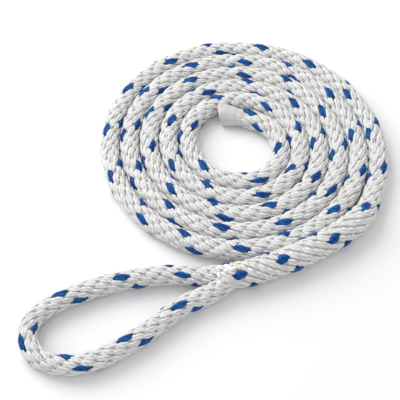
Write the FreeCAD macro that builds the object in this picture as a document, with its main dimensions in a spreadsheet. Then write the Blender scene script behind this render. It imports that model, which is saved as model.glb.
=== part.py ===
"""A coiled dock line with a spliced eye, as separate named solids, in millimetres.

The line is one length of solid-braid rope. Its outer end is turned back on itself into an eye
and spliced; the rest is wound inwards, anticlockwise from above, into a flat coil one rope thick.
Seen from above the coil's outer turn begins at the lower right, where the splice ends.
The origin is at the middle of the whole line's box, on the surface that it lies on, with +Z up.
"""

import FreeCAD, Part
import math
import os

from FreeCAD import Base, Vector

UP = Vector(0, 0, 1)
OUTLINE_STEP = 15  # degrees between the points of the coil's outline

doc = FreeCAD.newDocument("dock_line")

# ---------------------------------------------------------------- driving dimensions

DIMENSIONS = (
    ("rope_diameter", 9.5, "nominal 3/8 inch line"),
    ("coil_centre_x", 11.5, "coil's centre from the origin"),
    ("coil_centre_y", 26.7, "coil's centre from the origin"),
    ("resting_width", 10.1, "the soft rope's width where its turns press together"),
    ("turn_pitch", 10.15, "from one turn of the coil to the next"),
    ("wind_radius", 74.4, "radius of the coil's centre line where its winding is counted from"),
    ("wind_begin", 60.0, "degrees wound where the coil's outer turn leaves the splice"),
    ("wind_end", 1968.0, "degrees wound at the sealed inner end"),
    ("lean_outer", 1.9, "how far the outer turn is out of round, corner to corner"),
    ("lean_inner", 1.0, "the same for the innermost turn"),
    ("back_drift", 3.4, "how far the inner turns drift to the back"),
    ("side_drift", 1.1, "how far the inner turns drift to the right"),
    ("splice_push", 1.6, "how far the splice pushes the turns beside it inwards"),
    ("splice_radius", 6.3, "outside of the rope over its buried tail"),
    ("tail_radius", 4.1, "the buried tail, squeezed by the rope round it"),
    ("taper_length", 9.0, "where the splice narrows to the plain rope"),
    ("throat_length", 13.0, "where the eye's two legs run together"),
    ("end_length", 14.0, "the melted inner end"),
    ("end_tuck", 2.4, "how far the last of the winding is drawn in"),
    ("tuck_begin", 1905.0, "degrees wound where it begins to be drawn in"),
    ("tuck_reach", 57.0, "degrees of winding until it is drawn in fully"),
    ("end_rounding", 1.4, "the melted rim"),
    ("rim_rounding", 3.2, "the coil's upper and lower edges"),
    ("tuft_radius", 1.1, "yarn ends that stand out of the splice"),
    ("tuft_length", 3.2, "yarn ends that stand out of the splice"),
)

sheet = doc.addObject("Spreadsheet::Sheet", "dimensions")
for row_number, (alias, value, meaning) in enumerate(DIMENSIONS, start=1):
    sheet.set(f"A{row_number}", alias)
    sheet.set(f"B{row_number}", str(value))
    sheet.set(f"C{row_number}", meaning)
    sheet.setAlias(f"B{row_number}", alias)
doc.recompute()


def size(alias):
    """A driving dimension, read from the sheet."""
    return float(sheet.get(alias))


ROPE_RADIUS = size("rope_diameter") / 2
COIL_CENTRE = Vector(size("coil_centre_x"), size("coil_centre_y"), ROPE_RADIUS)

# ---------------------------------------------------------------- the line's route

# Points of the rope's centre line from the coil's centre, seen from above. The eye goes out
# along its upper leg, round its blunt end and back along the lower leg to the throat.
THROAT_HEADING = 18  # degrees from +X
THROAT_START = (-13.0, -82.4)
EYE_ROUTE = (
    (-27.5, -77.0),
    (-40.0, -77.8),
    (-53.0, -80.0),
    (-65.5, -83.8),
    (-77.5, -88.8),
    (-88.0, -94.8),
    (-94.6, -102.0),
    (-95.4, -111.0),
    (-89.8, -119.4),
    (-79.6, -123.6),
    (-67.6, -122.8),
    (-55.8, -117.6),
    (-44.3, -109.4),
    (-33.0, -100.2),
    (-22.8, -91.4),
)
SPLICE_ROUTE = (
    (11.5, -74.6),
    (23.5, -69.6),
    (35.0, -63.9),
    (45.6, -57.2),
    (53.4, -51.0),
)


def coil_radius(wound):
    """Radius of the coil's centre line after this many degrees of winding."""
    angle = math.radians(wound - 90)
    progress = wound / size("wind_end")
    lean = size("lean_outer") + (size("lean_inner") - size("lean_outer")) * progress
    radius = size("wind_radius") - size("turn_pitch") * wound / 360
    radius -= lean * math.sin(2 * angle)
    radius += size("back_drift") * progress * max(0.0, math.sin(angle))
    radius += size("side_drift") * (progress - 0.3) * math.cos(angle)
    if wound > 180:
        beside_splice = max(0.0, math.cos(angle + math.radians(58))) ** 6
        radius -= size("splice_push") * beside_splice * (1 - progress)
    drawn_in = min(1.0, max(0.0, (wound - size("tuck_begin")) / size("tuck_reach")))
    radius -= size("end_tuck") * drawn_in**2 * (3 - 2 * drawn_in)
    return radius


def coil_point(wound, outwards=0.0):
    """A point of the coil's centre line, or one this far outwards from it."""
    angle = math.radians(wound - 90)
    radius = coil_radius(wound) + outwards
    return COIL_CENTRE + Vector(radius * math.cos(angle), radius * math.sin(angle), 0)


def place(point, height=None):
    """A point of a route, at the rope's own height or at another."""
    x, y = point
    lift = 0 if height is None else height - ROPE_RADIUS
    return COIL_CENTRE + Vector(x, y, lift)


def tangent_path(points):
    """Straight runs joined by tangent arcs, each as large as its two runs allow."""
    edges = []
    last = points[0]
    for before, corner, after in zip(points, points[1:], points[2:]):
        run_in = corner - before
        run_out = after - corner
        turn = run_in.getAngle(run_out)
        cut = 0.45 * min(run_in.Length, run_out.Length)
        start = corner - run_in.normalize() * cut
        end = corner + run_out.normalize() * cut
        arc_radius = cut / math.tan(turn / 2)
        middle = (start + end) / 2
        to_corner = (corner - middle).normalize()
        bulge = arc_radius * (1 - math.cos(turn / 2))
        edges.append(Part.LineSegment(last, start).toShape())
        edges.append(Part.Arc(start, middle + to_corner * bulge, end).toShape())
        print(f"  arc radius {arc_radius:6.1f} mm, turn {math.degrees(turn):5.1f} degrees")
        last = end
    edges.append(Part.LineSegment(last, points[-1]).toShape())
    return Part.Wire(edges)


def circle_wire(centre, along, radius):
    """A round section of the rope."""
    return Part.Wire(Part.makeCircle(radius, centre, along))


def tube(path, radius, name):
    """A round solid along a path, with its volume compared with section times length."""
    start_edge = path.OrderedEdges[0]
    centre = start_edge.valueAt(start_edge.FirstParameter)
    along = start_edge.tangentAt(start_edge.FirstParameter)
    solid = path.makePipeShell([circle_wire(centre, along, radius)], True, False)
    expected = math.pi * radius**2 * path.Length
    print(f"{name}: {path.Length:.1f} mm long, volume {solid.Volume / expected:.4f} of section x length")
    return solid


def add_feature(name, shape):
    """A sub-part whose shape is made by Part's own functions."""
    feature = doc.addObject("Part::Feature", name)
    feature.Shape = shape
    feature.Placement = Base.Placement()
    return feature


# ---------------------------------------------------------------- the coil


def edge_curve(first, last, outwards):
    """One turn of the coil's outer or inner edge."""
    steps = round((last - first) / OUTLINE_STEP)
    points = [
        coil_point(first + (last - first) * step / steps, outwards) for step in range(steps + 1)
    ]
    curve = Part.BSplineCurve()
    curve.interpolate(points)
    return curve.toShape(), points[0], points[-1]


def make_coil():
    """The coil's outer shape: a flat slab one rope thick, with the open middle.

    Both edges are spirals, so each has a step one rope wide: the splice meets the outer step
    and the sealed end continues from the inner one.
    """
    begin = size("wind_begin")
    finish = size("wind_end")
    half_width = size("resting_width") / 2
    outlines = (
        edge_curve(begin, begin + 360, half_width),
        edge_curve(finish - 360, finish, -half_width),
    )
    slabs = []
    for curve, first, last in outlines:
        wire = Part.Wire([curve, Part.LineSegment(last, first).toShape()])
        face = Part.Face(wire)
        face.translate(Vector(0, 0, -ROPE_RADIUS))
        slabs.append(face.extrude(UP * size("rope_diameter")))
    slab = slabs[0].cut(slabs[1])
    long_rims = [
        edge
        for edge in slab.Edges
        if edge.Length > 100 and abs(edge.BoundBox.ZLength) < 0.01
    ]
    return slab.makeFillet(size("rim_rounding"), long_rims)


coil = add_feature("coil", make_coil())

# ---------------------------------------------------------------- the sealed inner end


def origin_plane(body, role):
    """One of a body's own origin planes."""
    return next(item for item in body.Origin.OriginFeatures if item.Role == role)


def add_line(sketch, start, end):
    """A straight line of a sketch, from one (x, y) to another."""
    return sketch.addGeometry(Part.LineSegment(Vector(*start, 0), Vector(*end, 0)), False)


def make_sealed_end():
    """The melted end, turned about its own axis and laid along the rope."""
    import Sketcher

    body = doc.addObject("PartDesign::Body", "sealed_end")
    sketch = body.newObject("Sketcher::SketchObject", "sealed_end_profile")
    sketch.AttachmentSupport = [(origin_plane(body, "XZ_Plane"), "")]
    sketch.MapMode = "FlatFace"
    length = size("end_length")
    corners = ((0, 0), (ROPE_RADIUS, 0), (ROPE_RADIUS, length), (0, length))
    for number, corner in enumerate(corners):
        add_line(sketch, corner, corners[(number + 1) % len(corners)])
    for number in range(len(corners)):
        following = (number + 1) % len(corners)
        sketch.addConstraint(Sketcher.Constraint("Coincident", number, 2, following, 1))
    sketch.addConstraint(Sketcher.Constraint("Horizontal", 0))
    sketch.addConstraint(Sketcher.Constraint("Vertical", 1))
    sketch.addConstraint(Sketcher.Constraint("Horizontal", 2))
    sketch.addConstraint(Sketcher.Constraint("PointOnObject", 3, 1, -2))
    sketch.addConstraint(Sketcher.Constraint("Coincident", 0, 1, -1, 1))
    width = sketch.addConstraint(Sketcher.Constraint("DistanceX", 0, 1, 0, 2, ROPE_RADIUS))
    height = sketch.addConstraint(Sketcher.Constraint("DistanceY", 1, 1, 1, 2, length))
    sketch.setExpression(f"Constraints[{width}]", "dimensions.rope_diameter / 2")
    sketch.setExpression(f"Constraints[{height}]", "dimensions.end_length")
    turned = body.newObject("PartDesign::Revolution", "sealed_end_turned")
    turned.Profile = sketch
    turned.ReferenceAxis = (sketch, ["V_Axis"])
    turned.Angle = 360
    doc.recompute()
    rim = max(
        (index for index, edge in enumerate(turned.Shape.Edges, start=1) if edge.Closed),
        key=lambda index: turned.Shape.Edges[index - 1].BoundBox.ZMin,
    )
    rounded = body.newObject("PartDesign::Fillet", "sealed_end_rim")
    rounded.Base = (turned, [f"Edge{rim}"])
    rounded.setExpression("Radius", "dimensions.end_rounding")
    start = coil_point(size("wind_end"))
    along = coil_point(size("wind_end") + 1) - coil_point(size("wind_end") - 1)
    body.Placement = Base.Placement(start, Base.Rotation(UP, along))
    return body


sealed_end = make_sealed_end()

# ---------------------------------------------------------------- the eye

heading = Vector(math.cos(math.radians(THROAT_HEADING)), math.sin(math.radians(THROAT_HEADING)), 0)
sideways = UP.cross(heading)
throat_start = place(THROAT_START)
upper_leg_end = throat_start + sideways * ROPE_RADIUS
lower_leg_end = throat_start - sideways * ROPE_RADIUS

print("eye_loop")
eye_path = tangent_path(
    [upper_leg_end] + [place(point) for point in EYE_ROUTE] + [lower_leg_end]
)
eye_loop = add_feature("eye_loop", tube(eye_path, ROPE_RADIUS, "eye_loop"))

# ---------------------------------------------------------------- the splice

splice_start = throat_start + heading * size("throat_length")
splice_start.z = size("splice_radius")
splice_end = coil_point(size("wind_begin"))
end_heading = (coil_point(size("wind_begin") + 1) - coil_point(size("wind_begin"))).normalize()
taper_start = splice_end - end_heading * size("taper_length")
taper_start.z = size("splice_radius")


def stadium_wire(centre, along, across, half_gap, radius):
    """Two rope sections side by side, drawn round as one outline."""
    left = centre + across * half_gap
    right = centre - across * half_gap
    up = UP * radius
    arcs = (
        Part.Arc(left + up, left + across * radius, left - up).toShape(),
        Part.LineSegment(left - up, right - up).toShape(),
        Part.Arc(right - up, right - across * radius, right + up).toShape(),
        Part.LineSegment(right + up, left + up).toShape(),
    )
    return Part.Wire(arcs)


def quartered_circle(centre, across, radius):
    """A circle in four arcs, begun half a quarter from the top, to pair with a stadium."""
    corners = []
    for degrees in (45, 135, 225, 315):
        angle = math.radians(degrees)
        corners.append(centre + across * radius * math.cos(angle) + UP * radius * math.sin(angle))
    middles = (
        centre + across * radius,
        centre - UP * radius,
        centre - across * radius,
        centre + UP * radius,
    )
    first, second, third, fourth = corners
    ends = ((first, fourth), (fourth, third), (third, second), (second, first))
    arcs = [
        Part.Arc(begin, middle, finish).toShape()
        for (begin, finish), middle in zip(ends, middles)
    ]
    return Part.Wire(arcs)


def make_throat():
    """The two legs run together into the round splice."""
    sections = [
        stadium_wire(throat_start, heading, sideways, ROPE_RADIUS, ROPE_RADIUS),
        quartered_circle(splice_start, sideways, size("splice_radius")),
    ]
    return Part.makeLoft(sections, True, True)


splice_throat = add_feature("splice_throat", make_throat())

print("splice")
splice_points = [place(point, size("splice_radius")) for point in SPLICE_ROUTE]
splice_path = tangent_path([splice_start] + splice_points + [taper_start])
outer_tube = tube(splice_path, size("splice_radius"), "splice_cover")
tail_tube = tube(splice_path, size("tail_radius"), "buried_tail")
last_edge = splice_path.OrderedEdges[-1]
last_heading = last_edge.tangentAt(last_edge.LastParameter)
taper = Part.makeLoft(
    [
        circle_wire(taper_start, last_heading, size("splice_radius")),
        circle_wire(splice_end, end_heading, ROPE_RADIUS),
    ],
    True,
    True,
)
splice_cover = add_feature("splice_cover", outer_tube.fuse(taper).cut(tail_tube))
buried_tail = add_feature("buried_tail", tail_tube)

# ---------------------------------------------------------------- yarn ends at the throat

# Each: along the throat, across it, and the way the yarn end points, in degrees round the
# throat's own axis from straight up.
TUFTS = (
    (2.0, 0.9, 8),
    (3.6, -3.0, -18),
    (5.8, 2.4, 20),
    (7.4, -0.6, -6),
    (9.6, 1.8, 16),
    (11.4, -1.6, -14),
)


def make_tufts():
    """Short rounded yarn ends, each rooted in the throat."""
    tufts = []
    for forward, across, lean in TUFTS:
        rise = (splice_start.z - throat_start.z) * forward / size("throat_length")
        root = throat_start + heading * forward + sideways * across + UP * (rise + ROPE_RADIUS * 0.55)
        direction = UP * math.cos(math.radians(lean)) + sideways * math.sin(math.radians(lean))
        stem = Part.makeCylinder(size("tuft_radius"), size("tuft_length"), root, direction)
        tip = Part.makeSphere(size("tuft_radius"), root + direction * size("tuft_length"))
        tufts.append(stem.fuse(tip).removeSplitter())
    return Part.makeCompound(tufts)


yarn_ends = add_feature("yarn_ends", make_tufts())

# ---------------------------------------------------------------- check and write

SUB_PARTS = (coil, sealed_end, eye_loop, splice_throat, splice_cover, buried_tail, yarn_ends)

doc.recompute()
for item in doc.Objects:
    if "Invalid" in item.State or "Error" in item.State:
        raise RuntimeError(f"{item.Name} failed: {item.State}")

os.makedirs("parts", exist_ok=True)
whole = FreeCAD.BoundBox()
for sub_part in SUB_PARTS:
    shape = sub_part.Shape
    if shape.isNull() or not shape.isValid() or not shape.Solids:
        raise RuntimeError(f"{sub_part.Label} has no valid solid")
    whole.add(shape.optimalBoundingBox())
    print(f"{sub_part.Label}: {len(shape.Solids)} solids, {shape.Volume:.0f} mm3")
    shape.exportStep(f"parts/{sub_part.Label}.step")
print(f"whole line: {whole}")

wound_length = sum(
    (coil_point(wound + 1) - coil_point(wound)).Length
    for wound in range(int(size("wind_begin")), int(size("wind_end")))
)
total = wound_length + size("end_length") + splice_path.Length + size("taper_length")
total += size("throat_length") + eye_path.Length
print(f"rope in the coil {wound_length:.0f} mm, whole line to the eye's far end and back {total:.0f} mm")
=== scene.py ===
"""A coiled dock line: 3/8 inch solid braid with a spliced eye, laid as a flat coil on a pale floor.

The rope is twelve strands, one of them blue, and each strand is two yarns side by side. A strand
makes one stitch after another: it widens on the rope's surface, then dives under its neighbours
to its next stitch, a quarter of the way round the rope. All twelve follow the same centre line,
from the tail buried in the splice, round the eye, back through the splice and along the coil to
the melted inner end.
"""

import math

import bpy
import numpy as np
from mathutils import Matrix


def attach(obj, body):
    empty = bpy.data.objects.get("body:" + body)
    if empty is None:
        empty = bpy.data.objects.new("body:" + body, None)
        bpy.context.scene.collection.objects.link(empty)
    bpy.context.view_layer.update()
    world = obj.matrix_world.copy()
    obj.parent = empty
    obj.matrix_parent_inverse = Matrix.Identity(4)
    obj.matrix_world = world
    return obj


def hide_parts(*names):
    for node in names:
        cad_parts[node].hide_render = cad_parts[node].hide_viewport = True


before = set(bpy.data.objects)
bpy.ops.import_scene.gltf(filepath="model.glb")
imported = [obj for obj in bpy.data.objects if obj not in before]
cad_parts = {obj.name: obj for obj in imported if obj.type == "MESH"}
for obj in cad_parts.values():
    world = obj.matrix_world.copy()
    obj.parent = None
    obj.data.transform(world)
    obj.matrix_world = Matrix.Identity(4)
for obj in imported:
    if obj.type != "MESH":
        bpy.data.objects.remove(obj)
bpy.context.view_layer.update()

MM = 0.001
rng = np.random.default_rng(7)

# ---------------------------------------------------------------- camera

camera_data = bpy.data.cameras.new("camera")
camera_data.lens = 80.58
camera_data.sensor_width = 36
camera = bpy.data.objects.new("camera", camera_data)
camera.location = (0.0097, -0.2650, 0.3652)
camera.rotation_euler = (math.radians(35.584), math.radians(1.739), math.radians(1.347))
bpy.context.scene.collection.objects.link(camera)
bpy.context.scene.camera = camera

# ---------------------------------------------------------------- the line's route, in mm

ROPE_DIAMETER = 9.5
ROPE_RADIUS = ROPE_DIAMETER / 2
SPLICE_RADIUS = 6.3
TAIL_RADIUS = 4.1
TAPER_LENGTH = 9.0
THROAT_LENGTH = 13.0
EYE_LENGTH = 196.0
END_LENGTH = 14.0

# The coil is wound in degrees, from its outer turn to its inner end.
COIL_CENTRE = np.array((11.5, 26.7, 0.0))
WIND_BEGIN = 60.0
WIND_END = 1968.0
WIND_STEPS = 129
WIND_RADIUS = 74.4
TURN_PITCH = 10.15
LEAN_OUTER = 1.9
LEAN_INNER = 1.0
BACK_DRIFT = 3.4
SIDE_DRIFT = 1.1
SPLICE_PUSH = 1.6
SPLICE_SIDE = math.radians(58)
END_TUCK = 2.4
TUCK_BEGIN = 1905.0
TUCK_REACH = 57.0

# The splice and the eye, from the coil's centre, seen from above.
THROAT_HEADING = math.radians(18)
THROAT_START = (-13.0, -82.4)
EYE_ROUTE = (
    (-27.5, -77.0),
    (-40.0, -77.8),
    (-53.0, -80.0),
    (-65.5, -83.8),
    (-77.5, -88.8),
    (-88.0, -94.8),
    (-94.6, -102.0),
    (-95.4, -111.0),
    (-89.8, -119.4),
    (-79.6, -123.6),
    (-67.6, -122.8),
    (-55.8, -117.6),
    (-44.3, -109.4),
    (-33.0, -100.2),
    (-22.8, -91.4),
)
SPLICE_ROUTE = ((11.5, -74.6), (23.5, -69.6), (35.0, -63.9), (45.6, -57.2), (53.4, -51.0))


def ease(share):
    """The share, clipped to 0 and 1, and made to start and end gently."""
    share = np.clip(share, 0, 1)
    return share * share * (3 - 2 * share)


def unit(vector):
    """The vector made one long."""
    return vector / np.linalg.norm(vector)


def coil_point(wound):
    """The coil's centre line after this many degrees of winding."""
    angle = math.radians(wound - 90)
    progress = wound / WIND_END
    radius = WIND_RADIUS - TURN_PITCH * wound / 360
    radius -= (LEAN_OUTER + (LEAN_INNER - LEAN_OUTER) * progress) * math.sin(2 * angle)
    radius += BACK_DRIFT * progress * max(0.0, math.sin(angle))
    radius += SIDE_DRIFT * (progress - 0.3) * math.cos(angle)
    if wound > 180:
        radius -= SPLICE_PUSH * max(0.0, math.cos(angle + SPLICE_SIDE)) ** 6 * (1 - progress)
    radius -= END_TUCK * ease((wound - TUCK_BEGIN) / TUCK_REACH)
    return np.array((radius * math.cos(angle), radius * math.sin(angle)))


def route():
    """The control points of the whole line, from the end of its buried tail to the melted end."""
    heading = np.array((math.cos(THROAT_HEADING), math.sin(THROAT_HEADING)))
    sideways = np.array((-heading[1], heading[0]))
    throat = np.array(THROAT_START)
    splice_start = throat + heading * THROAT_LENGTH
    begin = coil_point(WIND_BEGIN)
    taper_start = begin - unit(coil_point(WIND_BEGIN + 1) - begin) * TAPER_LENGTH
    splice = [splice_start, *[np.array(point) for point in SPLICE_ROUTE], taper_start]
    winding = [
        coil_point(WIND_BEGIN + (WIND_END - WIND_BEGIN) * step / WIND_STEPS)
        for step in range(WIND_STEPS + 1)
    ]
    finish = winding[-1] + unit(coil_point(WIND_END + 1) - coil_point(WIND_END - 1)) * END_LENGTH
    points = [(point, SPLICE_RADIUS) for point in reversed(splice)]
    points += [(throat - sideways * ROPE_RADIUS, ROPE_RADIUS)]
    points += [(np.array(point), ROPE_RADIUS) for point in reversed(EYE_ROUTE)]
    points += [(throat + sideways * ROPE_RADIUS, ROPE_RADIUS)]
    points += [(point, SPLICE_RADIUS) for point in splice]
    points += [(point, ROPE_RADIUS) for point in [*winding, finish]]
    return [COIL_CENTRE + np.array((x, y, height)) for (x, y), height in points]


def smooth_line(points):
    """The points along the NURBS spline that has these control points, in mm."""
    curve = bpy.data.curves.new("rope_route", "CURVE")
    curve.dimensions = "3D"
    spline = curve.splines.new("NURBS")
    spline.points.add(len(points) - 1)
    for point, place in zip(spline.points, points):
        point.co = (*(place * MM), 1)
    spline.order_u = 3
    spline.use_endpoint_u = True
    spline.resolution_u = 14
    guide = bpy.data.objects.new("rope_route", curve)
    mesh = bpy.data.meshes.new_from_object(guide)
    smooth = np.array([vertex.co for vertex in mesh.vertices]) / MM
    bpy.data.objects.remove(guide)
    bpy.data.meshes.remove(mesh)
    return smooth


control_points = route()
line = smooth_line(control_points)
line_at = np.concatenate([[0], np.cumsum(np.linalg.norm(np.diff(line, axis=0), axis=1))])
LENGTH = line_at[-1]

# Distances along the line where its make-up changes. The tail reaches from the line's first
# point to the splice's start, which comes after the splice's own points.
tail_part = line[: len(line) // 8]
tail_finish = control_points[len(SPLICE_ROUTE) + 1]
TAIL_END = float(line_at[np.argmin(np.linalg.norm(tail_part - tail_finish, axis=1))])
EYE_BEGIN = TAIL_END + THROAT_LENGTH
EYE_END = EYE_BEGIN + EYE_LENGTH
SPLICE_BEGIN = EYE_END + THROAT_LENGTH
SPLICE_END = SPLICE_BEGIN + TAIL_END
COIL_BEGIN = SPLICE_END + TAPER_LENGTH

# The rope lies a little wide in the coil, and it narrows again over the last of the inner end.
COIL_HALF_WIDTH = 5.18
NARROWING = 12.0

# Distance along the line, half the rope's width and half its height.
SECTION = (
    (0, TAIL_RADIUS, TAIL_RADIUS),
    (TAIL_END - 2, TAIL_RADIUS, TAIL_RADIUS),
    (EYE_BEGIN, ROPE_RADIUS, ROPE_RADIUS),
    (EYE_END, ROPE_RADIUS, ROPE_RADIUS),
    (SPLICE_BEGIN - 2, SPLICE_RADIUS, SPLICE_RADIUS),
    (SPLICE_END, SPLICE_RADIUS, SPLICE_RADIUS),
    (COIL_BEGIN, COIL_HALF_WIDTH, ROPE_RADIUS),
    (LENGTH - NARROWING, COIL_HALF_WIDTH, ROPE_RADIUS),
    (LENGTH, ROPE_RADIUS, ROPE_RADIUS),
)
# 1 is an ellipse; less is a little squarer, as a soft rope is when its turns press together.
SQUARENESS = 0.9
# The rope's direction is taken over this much of the line, before and after.
DIRECTION_REACH = 1.5


def along_line(at):
    """Centre, rightwards and upwards directions of the rope at these distances along it.

    Past either end of the line the centre goes straight on.
    """

    def centre(where):
        return np.stack([np.interp(where, line_at, line[:, axis]) for axis in range(3)], axis=-1)

    inside = np.clip(at, 0, LENGTH)
    before = centre(np.clip(inside - DIRECTION_REACH, 0, LENGTH))
    ahead = centre(np.clip(inside + DIRECTION_REACH, 0, LENGTH)) - before
    ahead /= np.linalg.norm(ahead, axis=-1, keepdims=True)
    right = np.stack([ahead[..., 1], -ahead[..., 0], np.zeros_like(ahead[..., 0])], axis=-1)
    right /= np.linalg.norm(right, axis=-1, keepdims=True)
    up = np.cross(right, ahead)
    return centre(inside) + ahead * (at - inside)[..., None], right, up


def section(at):
    """Half the rope's width and half its height at these distances along it."""
    marks = np.array(SECTION)
    return np.interp(at, marks[:, 0], marks[:, 1]), np.interp(at, marks[:, 0], marks[:, 2])


def on_rope(at, angle, depth):
    """Points this deep under the rope's outline, at an angle in radians from its top rightwards."""
    at, angle, depth = np.broadcast_arrays(at, angle, depth)
    centre, right, up = along_line(at)
    half_width, half_height = section(at)
    sideways = np.sign(np.sin(angle)) * np.abs(np.sin(angle)) ** SQUARENESS
    upwards = np.sign(np.cos(angle)) * np.abs(np.cos(angle)) ** SQUARENESS
    return (
        centre
        + right * ((half_width - depth) * sideways)[..., None]
        + up * ((half_height - depth) * upwards)[..., None]
    )


def above_floor(points):
    """The same points, pressed flat where they would go under the floor."""
    points[..., 2] = np.maximum(points[..., 2], 0)
    return points


# ---------------------------------------------------------------- meshes

# The four corners of a quad: spokes round the tube and rings along it from its first corner.
QUAD_CORNERS = ((0, 0), (1, 0), (1, 1), (0, 1))


def tube_mesh(name, rings, uv_along, material, sunk=None):
    """A closed tube through rings of points in mm, as an object with one material.

    The UV map "strand" goes round the tube, from 0 to 1, and along it, in cm. The attribute
    "sunk" says how far each ring has dived into the rope, from 0 on the surface to 1; the
    yarn materials darken by it as painted shade.
    """
    count, rim = rings.shape[:2]
    ring, spoke = np.meshgrid(np.arange(count - 1), np.arange(rim), indexing="ij")
    quads = np.stack(
        [(ring + onward) * rim + (spoke + turned) % rim for turned, onward in QUAD_CORNERS], axis=-1
    )
    faces = [tuple(quad) for quad in quads.reshape(-1, 4).tolist()]
    faces.append(tuple(range(rim))[::-1])
    faces.append(tuple(range((count - 1) * rim, count * rim)))
    mesh = bpy.data.meshes.new(name)
    mesh.from_pydata((rings.reshape(-1, 3) * MM).tolist(), [], faces)

    corner_uvs = [
        np.stack([(spoke + turned) / rim, uv_along[ring + onward]], axis=-1)
        for turned, onward in QUAD_CORNERS
    ]
    uv = np.zeros((len(mesh.loops), 2), np.float32)
    uv[: quads.size] = np.stack(corner_uvs, axis=-2).reshape(-1, 2)
    mesh.uv_layers.new(name="strand").data.foreach_set("uv", uv.ravel())
    dived = mesh.attributes.new("sunk", "FLOAT", "POINT")
    dived.data.foreach_set("value", np.repeat(np.zeros(count) if sunk is None else sunk, rim))
    mesh.polygons.foreach_set("use_smooth", np.ones(len(mesh.polygons), bool))
    mesh.materials.append(material)
    mesh.update()
    tube = bpy.data.objects.new(name, mesh)
    bpy.context.scene.collection.objects.link(tube)
    return tube


# ---------------------------------------------------------------- materials

BEAD_LENGTH = 2.9  # mm along a yarn between the crowns that its twist makes
FILAMENT_STRETCH = (26, 1.6, 1)  # finer round the strand than along it
GROOVE_SHADE = 0.15  # painted shade in the groove between a strand's two yarns: how much darker the line is made
TWIST_SHADE = 0.14  # painted shade in the furrows of a yarn's twist: how much darker they are made


def new_material(name):
    """A material with its nodes, its links and its surface shader."""
    material = bpy.data.materials.new(name)
    material.use_nodes = True
    nodes = material.node_tree.nodes
    return material, nodes, material.node_tree.links, nodes["Principled BSDF"]


def add_noise(nodes, links, vector, scale, detail):
    """A noise texture's grey value, from this vector output."""
    noise = nodes.new("ShaderNodeTexNoise")
    noise.inputs["Scale"].default_value = scale
    noise.inputs["Detail"].default_value = detail
    links.new(vector, noise.inputs["Vector"])
    return noise.outputs["Fac"]


def add_ramp(nodes, links, tone, stops, socket):
    """Colour a shader's socket by tone; the stops are (position, colour)."""
    ramp = nodes.new("ShaderNodeValToRGB")
    elements = ramp.color_ramp.elements
    while len(elements) < len(stops):
        elements.new(0.3)
    for element, (position, colour) in zip(elements, stops):
        element.position = position
        element.color = (*colour, 1)
    links.new(tone, ramp.inputs["Fac"])
    links.new(ramp.outputs["Color"], socket)


def add_bump(nodes, links, height, strength, distance, shader):
    """Raise the shader's surface by this height output; the distance is in metres."""
    bump = nodes.new("ShaderNodeBump")
    bump.inputs["Strength"].default_value = strength
    bump.inputs["Distance"].default_value = distance
    links.new(height, bump.inputs["Height"])
    links.new(bump.outputs["Normal"], shader.inputs["Normal"])


def fibre_material(name, colours, sheen=0.1, gloss=0.3, shade=0.0):
    """Fine yarn: filaments along the strand, the line between its two yarns, and their twist.

    The three colours go from the shadowed depths to the lit filaments. The line between the
    two yarns and the furrows of their twist are darkened with painted shade, and shade says
    how much painted shade darkens the yarn where it dives.
    """
    material, nodes, links, shader = new_material(name)

    def calculate(operation, first, second=0.0, third=0.0):
        """One arithmetic node; each input is a number or another node's output."""
        node = nodes.new("ShaderNodeMath")
        node.operation = operation
        for socket, value in zip(node.inputs, (first, second, third)):
            if isinstance(value, float):
                socket.default_value = value
            else:
                links.new(value, socket)
        return node.outputs[0]

    uv = nodes.new("ShaderNodeUVMap")
    uv.uv_map = "strand"
    stretch = nodes.new("ShaderNodeMapping")
    stretch.inputs["Scale"].default_value = FILAMENT_STRETCH
    links.new(uv.outputs["UV"], stretch.inputs["Vector"])
    filaments = add_noise(nodes, links, stretch.outputs["Vector"], 3.0, 3.0)
    coordinates = nodes.new("ShaderNodeTexCoord")
    patches = add_noise(nodes, links, coordinates.outputs["Object"], 240.0, 2.0)
    tone = calculate("MULTIPLY_ADD", filaments, 0.6, calculate("MULTIPLY", patches, 0.4))

    parts = nodes.new("ShaderNodeSeparateXYZ")
    links.new(uv.outputs["UV"], parts.inputs[0])
    around, along = parts.outputs[0], parts.outputs[1]
    # the groove line between the two yarns, darkened below as painted shade
    between = calculate("COSINE", calculate("MULTIPLY", around, 4 * math.pi))
    between = calculate("POWER", calculate("MAXIMUM", calculate("MULTIPLY", between, -1.0), 0.0), 5.0)
    # the furrows of each yarn's twist, darkened below as painted shade
    twist = calculate("MULTIPLY", along, 20 * math.pi / BEAD_LENGTH)
    twist = calculate("SINE", calculate("MULTIPLY_ADD", around, 6 * math.pi, twist))
    twist = calculate("POWER", calculate("MULTIPLY_ADD", twist, 0.5, 0.5), 3.0)
    # how far the yarn has dived, darkened below as painted shade
    sunk = nodes.new("ShaderNodeAttribute")
    sunk.attribute_name = "sunk"
    tone = calculate("MULTIPLY_ADD", between, -GROOVE_SHADE, tone)
    tone = calculate("MULTIPLY_ADD", twist, -TWIST_SHADE, tone)
    tone = calculate("MULTIPLY_ADD", sunk.outputs["Fac"], -shade, tone)

    stops = tuple(zip((0.0, 0.32, 0.58), colours))
    add_ramp(nodes, links, tone, stops, shader.inputs["Base Color"])
    add_bump(nodes, links, tone, 0.35, 0.00015, shader)
    shader.inputs["Roughness"].default_value = 0.55
    shader.inputs["Specular IOR Level"].default_value = gloss
    shader.inputs["Sheen Weight"].default_value = sheen
    return material


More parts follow.
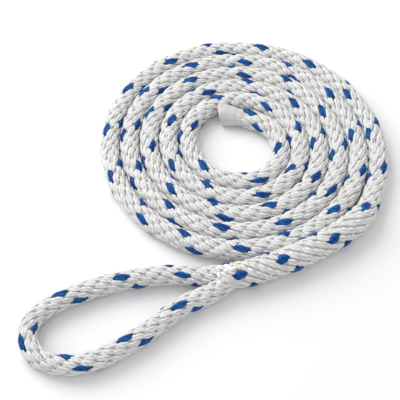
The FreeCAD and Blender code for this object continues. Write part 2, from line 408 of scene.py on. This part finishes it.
def melted_material():
    """Melted rope: the yarns run together into a smooth, faintly mottled skin."""
    material, nodes, links, shader = new_material("melted_yarn")
    coordinates = nodes.new("ShaderNodeTexCoord")
    mottle = add_noise(nodes, links, coordinates.outputs["Object"], 420.0, 3.0)
    stops = ((0.35, (0.56, 0.55, 0.54)), (0.7, (0.66, 0.65, 0.64)))
    add_ramp(nodes, links, mottle, stops, shader.inputs["Base Color"])
    add_bump(nodes, links, mottle, 0.25, 0.0002, shader)
    shader.inputs["Roughness"].default_value = 0.45
    return material


# shade: painted shade where the strands dive, strongest on the blue strand's stitch ends
white_yarn = fibre_material(
    "white_yarn", ((0.30, 0.30, 0.30), (0.62, 0.62, 0.615), (0.825, 0.825, 0.82)), shade=0.05
)
blue_yarn = fibre_material(
    "blue_yarn",
    ((0.001, 0.006, 0.045), (0.004, 0.042, 0.19), (0.011, 0.135, 0.40)),
    sheen=0.0,
    gloss=0.12,
    shade=0.6,
)
# the same white nylon made brighter for the raised yarn ends: painted highlight
highlit_yarn = fibre_material(
    "highlit_yarn", ((0.56, 0.56, 0.55), (0.80, 0.80, 0.79), (0.93, 0.93, 0.92))
)
aged_yarn = fibre_material("aged_yarn", ((0.5, 0.47, 0.34), (0.72, 0.68, 0.50), (0.86, 0.82, 0.64)))
# the same white nylon for the strand wrapped round the throat; its grey is painted shade
shaded_smooth_yarn = fibre_material(
    "shaded_smooth_yarn", ((0.44, 0.43, 0.42), (0.58, 0.57, 0.56), (0.66, 0.65, 0.64))
)
melted_yarn = melted_material()

# ---------------------------------------------------------------- the braid

# The blue strand's stitches: stitch number, distance along the line in mm, and how far the whole
# braid has turned there, in degrees.
TRACER = (
    (-14, 1, -60),
    (0, 101, -8),
    (23, 267, 119),
    (27, 293.5, 125),
    (31, 313.5, 105),
    (35, 340.5, 120),
    (39, 364.5, 85),
    (43, 393, 124),
    (58, 504, 186),
    (69, 587, 284),
    (81, 677, 315),
    (99, 807, 485),
    (121, 975, 660),
    (148, 1178, 765),
    (176, 1390, 1035),
    (206, 1611, 1290),
    (227, 1762, 1550),
    (244, 1890, 1720),
    (245, 1897.5, 1735),
    (250, 1934, 1800),
)
# Four of the twelve strands make their stitches at the same distance along the line, spread
# round the rope. The next four are a third of a stitch back from them, and so on.
ROWS = 4
STEPS = 3
STITCH_REACH = 0.57  # half a stitch's length, in stitches
BLUE_REACH = 0.73  # the blue strand is bulkier, so its stitches lie over their neighbours
STITCH_HALF_WIDTH = 1.30
STITCH_HALF_THICKNESS = 0.86
STITCH_TAPER = 0.7  # share of its width that a stitch loses at its ends
STITCH_THINNING = 0.45  # share of its thickness that it loses there
SPLICE_THICKENING = 0.3
BLUE_WIDENING = 0.16
BLUE_SPLICE_WIDENING = 0.04
BLUE_TAPER = 0.35
BLUE_RISE = 0.15  # mm that blue stitches stand higher, and as much again in the splice
STITCH_TILT = math.radians(10)
SPLICE_TILT = math.radians(21)
BLUE_SPLICE_TILT = math.radians(-9)
STITCH_DIP = 1.9  # mm that a strand has sunk where its stitch ends
DIVE_HALF_WIDTH = 0.4
DIVE_RINGS = 2
FIRST_STITCH_AT = 2.0
LAST_STITCH_BEFORE = 5.0  # mm before the line's inner end
SIZE_SCATTER = 0.05
SWAY_SCATTER = 0.03
SLIP_SCATTER = 0.018
BRAID_DEPTH = 1.0  # mm under the rope's outline where a stitch's width is measured
STRAND_ROLL = 0.12  # radians that a strand rolls to and fro
MELT_LENGTH = 16.0  # mm at the line's inner end that is melted
MELT_SINK = 1.2  # mm that the strands are drawn in under the melted skin
MELT_SINK_AFTER = 4.0
MELT_SINK_LENGTH = 7.0

RIM = 24  # points round a strand
RING_AT = np.array((-1, -0.93, -0.82, -0.66, -0.46, -0.23, 0, 0.23, 0.46, 0.66, 0.82, 0.93, 1))


def full_turn(count):
    """Angles evenly round a full turn, in radians, as one row."""
    return np.linspace(0, 2 * np.pi, count, endpoint=False)[None, :]


def at_stitch(number):
    """Distance along the line, and the braid's turn in radians, at this stitch number."""
    marks = np.array(TRACER, float)
    at = np.interp(number, marks[:, 0], marks[:, 1])
    turn = np.interp(number, marks[:, 0], marks[:, 2])
    return at, np.radians(turn)


def stitch_number(at):
    """The number of the stitch at this distance along the line."""
    marks = np.array(TRACER, float)
    return float(np.interp(at, marks[:, 1], marks[:, 0]))


def two_yarns(rim, at):
    """The outline of two twisted yarns side by side, as a share of the strand's half thickness."""
    lobes = np.sqrt(np.abs(np.sin(2 * rim)))
    side = np.sign(np.cos(rim))
    beads = np.cos(2 * np.pi * at / BEAD_LENGTH + 1.4 * side + rim)
    return (0.72 + 0.32 * lobes) * (1 + 0.10 * beads)


def with_dives(on_surface, in_dives):
    """Values for every ring of a strand: a row for each stitch, with a dive before the next."""
    between = np.concatenate([on_surface[:-1], in_dives], axis=1).reshape(-1)
    return np.concatenate([between, on_surface[-1]])


def stitch_rings(numbers, step_back, row, is_blue):
    """Stitch number, angle, sink and half sizes of each ring of a strand, dives included."""
    count = len(numbers)
    wide = 1 + rng.normal(0, SIZE_SCATTER, count)[:, None]
    thick = 1 + rng.normal(0, SIZE_SCATTER, count)[:, None]
    sway = rng.normal(0, SWAY_SCATTER, count)[:, None]
    slip = rng.normal(0, SLIP_SCATTER, count)[:, None]

    t = RING_AT[None, :]
    shift = row - step_back / STEPS
    number = numbers[:, None] + shift + slip + (BLUE_REACH if is_blue else STITCH_REACH) * t
    swelling = section(at_stitch(number)[0])[0] - COIL_HALF_WIDTH
    spliced = np.clip(swelling / (SPLICE_RADIUS - COIL_HALF_WIDTH), 0, 1)
    splice_tilt = BLUE_SPLICE_TILT if is_blue else SPLICE_TILT
    column = math.radians(360 / ROWS / STEPS)
    angle = column * (STEPS * numbers[:, None] + step_back) + sway
    angle = angle + (STITCH_TILT + (splice_tilt - STITCH_TILT) * spliced) * t
    sink = STITCH_DIP * np.abs(t) ** 2.8 + 0 * number
    half_width = STITCH_HALF_WIDTH * wide * (1 - STITCH_TAPER * np.abs(t) ** 2.5)
    half_thick = STITCH_HALF_THICKNESS * thick * (1 - STITCH_THINNING * t**2)
    half_thick = half_thick * (1 + SPLICE_THICKENING * spliced)
    if is_blue:
        half_width = half_width * (1 + BLUE_WIDENING + BLUE_SPLICE_WIDENING * spliced)
        half_width = half_width * (1 - BLUE_TAPER * np.abs(t) ** 1.5)
        sink = sink - BLUE_RISE - BLUE_RISE * spliced

    q = (np.arange(DIVE_RINGS) + 1.0)[None, :] / (DIVE_RINGS + 1)
    thin = np.full((count - 1, DIVE_RINGS), DIVE_HALF_WIDTH)
    return (
        with_dives(number, number[:-1, -1:] * (1 - q) + number[1:, :1] * q),
        with_dives(angle, angle[:-1, -1:] * (1 - q) + angle[1:, :1] * q),
        with_dives(sink, STITCH_DIP + np.sin(np.pi * q) + 0 * thin),
        with_dives(half_width, thin),
        with_dives(half_thick, thin),
    )


def strand(name, step_back, row, material):
    """One strand from end to end: a tube that widens into each stitch and thins in each dive."""
    first = math.ceil(stitch_number(FIRST_STITCH_AT))
    last = math.floor(stitch_number(LENGTH - LAST_STITCH_BEFORE))
    numbers = np.arange(first - row + 1, last - row)
    number, angle, sink, half_width, half_thick = stitch_rings(
        numbers, step_back, row, material is blue_yarn
    )
    at, turn = at_stitch(number)

    rim = full_turn(RIM)
    around = rim + STRAND_ROLL * np.sin(5 * number)[:, None]
    bulge = two_yarns(rim, at[:, None])
    half_rope = section(at)[0] - BRAID_DEPTH
    spread = half_rope / (ROPE_RADIUS - BRAID_DEPTH)
    across = np.cos(around) * bulge * (half_width * spread)[:, None]
    lift = np.sin(around) * bulge * half_thick[:, None]
    melted = (at - LENGTH + MELT_LENGTH - MELT_SINK_AFTER) / MELT_SINK_LENGTH
    sink = sink + MELT_SINK * np.clip(melted, 0, 1)
    rim_angle = (angle + turn)[:, None] + across / half_rope[:, None]
    depth = (sink + half_thick)[:, None] - lift
    vertices = above_floor(on_rope(at[:, None], rim_angle, depth))
    # the rings' dive, which the yarn materials darken by as painted shade
    return tube_mesh(name, vertices, at / 10, material, np.clip(sink / STITCH_DIP, 0, 1))


def rope_inside():
    """The rope's inside, seen only as the floor of the gaps between stitches."""
    at = np.arange(1.0, LENGTH - 3, 1.5)
    return tube_mesh("rope_inside", on_rope(at[:, None], full_turn(20), 1.6), at / 10, white_yarn)


strands = []
for row in range(ROWS):
    for step_back in range(STEPS):
        strand_number = STEPS * row + step_back
        if strand_number == 0:
            strands.append(strand("strand_blue", step_back, row, blue_yarn))
        else:
            name = f"strand_white_{strand_number:02d}"
            strands.append(strand(name, step_back, row, white_yarn))
core = rope_inside()

# ---------------------------------------------------------------- the melted inner end

SKIN_RISE = 10.0  # mm along which the skin comes up out of the braid
SKIN_RINGS = 45
SKIN_DEPTH_AT_START = 0.9
SKIN_DEPTH = 0.05
RIDGE_LENGTH = 3.7  # mm from one of the strands' ridges to the next
RIDGE_HEIGHT = 0.5
RIDGES_AT_START = 0.8  # share of the ridges' height
RIDGES_AT_CUT = 0.05
FLARE = 0.95
FLARE_BEFORE_CUT = 9.0
FLARE_LENGTH = 8.0
CUT_SLANT = 1.7
CUT_DIRECTION = math.radians(39)
CURL_DIRECTION = math.radians(-32)
CURL_BEFORE_CUT = 2.6
CURL_RADIUS = 1.0
CURL_WIDTH = 0.3
CURL_HEIGHT = 0.35
FLARED_RADIUS = 5.4  # mm from the axis to the skin at the curl
ROUNDING = 0.9
# The rounded rim and the cut's face: how far forward, and what share of the way to the middle.
CAP_FORWARD = np.array((0.30, 0.55, 0.72, 0.82, 0.87, 0.90, 0.88, 0.85))
CAP_INWARD = np.array((0.015, 0.045, 0.09, 0.16, 0.30, 0.55, 0.8, 0.985))


def melted_end():
    """The skin over the last of the line: it rises out of the braid and closes over the cut."""
    skin = np.linspace(0, MELT_LENGTH - ROUNDING, SKIN_RINGS)
    along = np.concatenate([skin, MELT_LENGTH - ROUNDING + CAP_FORWARD])[:, None]
    inward = np.concatenate([np.zeros(SKIN_RINGS), CAP_INWARD])[:, None]
    at = LENGTH - MELT_LENGTH + along
    angle = full_turn(96)
    rise = ease(along / SKIN_RISE)
    depth = SKIN_DEPTH_AT_START + (SKIN_DEPTH - SKIN_DEPTH_AT_START) * rise
    # the strands' ridges, fading towards the cut
    fade = RIDGES_AT_START + (RIDGES_AT_CUT - RIDGES_AT_START) * rise
    onward = np.pi * at / RIDGE_LENGTH
    ridges = np.cos(6 * angle + onward) * np.cos(6 * angle - onward)
    depth = depth + fade * RIDGE_HEIGHT * (1 - ridges)
    # a slight flare and a slanting cut, then the rounded rim and the face
    near_cut = np.clip((along - MELT_LENGTH + FLARE_BEFORE_CUT) / FLARE_LENGTH, 0, 1)
    depth = depth - FLARE * near_cut
    at = at + CUT_SLANT * np.sin(angle + CUT_DIRECTION) * near_cut**2
    depth = depth + inward * (section(at)[1] - 0.1)
    # a small curl of melt near the rim, on the side
    turned = (angle - CURL_DIRECTION + np.pi) % (2 * np.pi) - np.pi
    from_curl = np.hypot(along - MELT_LENGTH + CURL_BEFORE_CUT, turned * FLARED_RADIUS)
    curl = np.exp(-(((from_curl - CURL_RADIUS) / CURL_WIDTH) ** 2))
    depth = depth - CURL_HEIGHT * curl * (inward < 0.01)
    rings = above_floor(on_rope(at, angle, depth))
    return tube_mesh("melted_end", rings, along[:, 0] / 10, melted_yarn)


cap = melted_end()

# ---------------------------------------------------------------- the throat

THROAT_RADIUS = 5.5  # mm from the throat's axis to a strand drawn round it

# Name, start, bend, end, half width, half thickness and material; in mm.
YARN_ENDS = (
    ("yarn_end_1", (2.3, -52.3, 10.0), (2.4, -53.8, 10.7), (3.1, -55.4, 10.0), 0.85, 0.9, highlit_yarn),
    ("yarn_end_2", (1.7, -58.6, 9.6), (2.9, -58.2, 10.9), (4.1, -57.6, 10.2), 1.2, 1.1, highlit_yarn),
    ("yarn_end_3", (4.9, -52.6, 10.5), (5.9, -51.9, 11.6), (7.2, -51.4, 11.2), 1.05, 1.0, highlit_yarn),
    ("yarn_end_4", (6.9, -51.7, 11.3), (8.9, -51.4, 12.6), (10.8, -51.2, 12.2), 1.1, 1.1, highlit_yarn),
    ("yarn_end_5", (4.9, -48.0, 9.7), (6.8, -49.3, 11.0), (8.6, -50.9, 10.4), 1.15, 1.0, highlit_yarn),
    ("yarn_end_6", (11.4, -51.6, 11.9), (11.9, -51.0, 12.9), (12.8, -50.3, 12.2), 0.95, 0.8, aged_yarn),
    ("yarn_end_7", (2.6, -47.4, 9.0), (4.0, -47.9, 9.8), (5.6, -48.5, 9.3), 0.6, 0.6, blue_yarn),
    ("yarn_end_8", (8.2, -50.3, 10.9), (9.0, -49.9, 11.6), (10.0, -49.3, 11.0), 0.8, 0.8, blue_yarn),
)
# Distance along the line, degrees from the rope's top, and half width in mm.
WRAP_ROUTE = (
    (EYE_BEGIN - 5.0, 30, 1.0),
    (EYE_BEGIN - 8.0, -5, 2.8),
    (TAIL_END + 1.0, -40, 3.1),
    (TAIL_END - 4.0, -75, 1.4),
)


def bundle(name, start, bend, end, half_width, half_thick, material):
    """A short yarn end: a rounded bundle from start to end, drawn towards bend."""
    t = (np.sin(np.linspace(-0.5, 0.5, 15) * np.pi) * 0.5 + 0.5)[:, None]
    start, bend, end = (np.array(place) for place in (start, bend, end))
    centre = (1 - t) ** 2 * start + 2 * t * (1 - t) * bend + t**2 * end
    ahead = unit(end - start)
    side = unit(np.cross(ahead, (0, 0, 1)))
    up = np.cross(side, ahead)
    rim = full_turn(RIM)
    around = rim + 3.0 * t
    bulge = 0.84 + 0.18 * np.sqrt(np.abs(np.sin(1.5 * rim)))
    girth = np.sqrt(np.clip(1 - (2 * t - 1) ** 4, 0.03, 1)) * bulge
    rings = (
        centre[:, None, :]
        + (half_width * girth * np.cos(around))[..., None] * side
        + (half_thick * girth * np.sin(around))[..., None] * up
    )
    return tube_mesh(name, rings, t[:, 0] * np.linalg.norm(end - start) / 10, material)


def wrap(name, places, half_thick, material):
    """A broad strand drawn round the throat, through places like those of WRAP_ROUTE."""
    t = np.linspace(0, 1, 21)
    marks = np.linspace(0, 1, len(places))
    at, degrees, half_width = (np.interp(t, marks, values) for values in zip(*places))
    middle = np.radians(degrees)
    around = full_turn(40)
    ahead = np.arctan2(np.gradient(middle) * THROAT_RADIUS, np.gradient(at))[:, None]
    across = half_width[:, None] * np.cos(around)
    turned = middle[:, None] + across * np.cos(ahead) / THROAT_RADIUS
    moved = at[:, None] - across * np.sin(ahead)
    depth = half_thick * (0.2 - np.sin(around)) + 0.5 * (2 * t[:, None] - 1) ** 4
    return tube_mesh(name, on_rope(moved, turned, depth), t * 2, material)


yarn_ends = [bundle(*yarn_end) for yarn_end in YARN_ENDS]
throat_wrap = wrap("throat_wrap", WRAP_ROUTE, 0.85, shaded_smooth_yarn)

# ---------------------------------------------------------------- the pieces under one body, and the model's own parts hidden

CAD_NODES = (
    "coil", "sealed_end", "eye_loop", "splice_throat", "splice_cover", "buried_tail", "yarn_ends",
)
pieces = [*strands, core, cap, throat_wrap, *yarn_ends]
for piece in pieces:
    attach(piece, "root")
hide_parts(*CAD_NODES)

# ---------------------------------------------------------------- floor and light

FLOOR_HALF_WIDTH = 3.0
FLOOR_CORNERS = ((-1, -1), (1, -1), (1, 1), (-1, 1))


def add_floor():
    """A plain pale floor, just under the line."""
    mesh = bpy.data.meshes.new("floor")
    corners = [(x * FLOOR_HALF_WIDTH, y * FLOOR_HALF_WIDTH, 0) for x, y in FLOOR_CORNERS]
    mesh.from_pydata(corners, [], [(0, 1, 2, 3)])
    floor = bpy.data.objects.new("floor", mesh)
    floor.location.z = -0.0002
    bpy.context.scene.collection.objects.link(floor)
    material, _, _, shader = new_material("floor")
    shader.inputs["Base Color"].default_value = (0.9, 0.9, 0.9, 1)
    shader.inputs["Roughness"].default_value = 0.9
    mesh.materials.append(material)


def add_light():
    """An even white surrounding and one large softbox, behind the line to the left."""
    world = bpy.data.worlds.new("world")
    world.use_nodes = True
    background = world.node_tree.nodes["Background"]
    background.inputs["Color"].default_value = (1, 1, 1, 1)
    background.inputs["Strength"].default_value = 0.74
    bpy.context.scene.world = world
    bpy.context.scene.view_settings.view_transform = "Standard"
    softbox = bpy.data.lights.new("softbox", "AREA")
    softbox.shape = "RECTANGLE"
    softbox.size = 0.9
    softbox.size_y = 0.7
    softbox.energy = 8.0
    lamp = bpy.data.objects.new("softbox", softbox)
    lamp.location = (-0.6, 0.45, 0.65)
    lamp.rotation_euler = (math.radians(-27), math.radians(-43), 0)
    bpy.context.scene.collection.objects.link(lamp)


add_floor()
add_light()
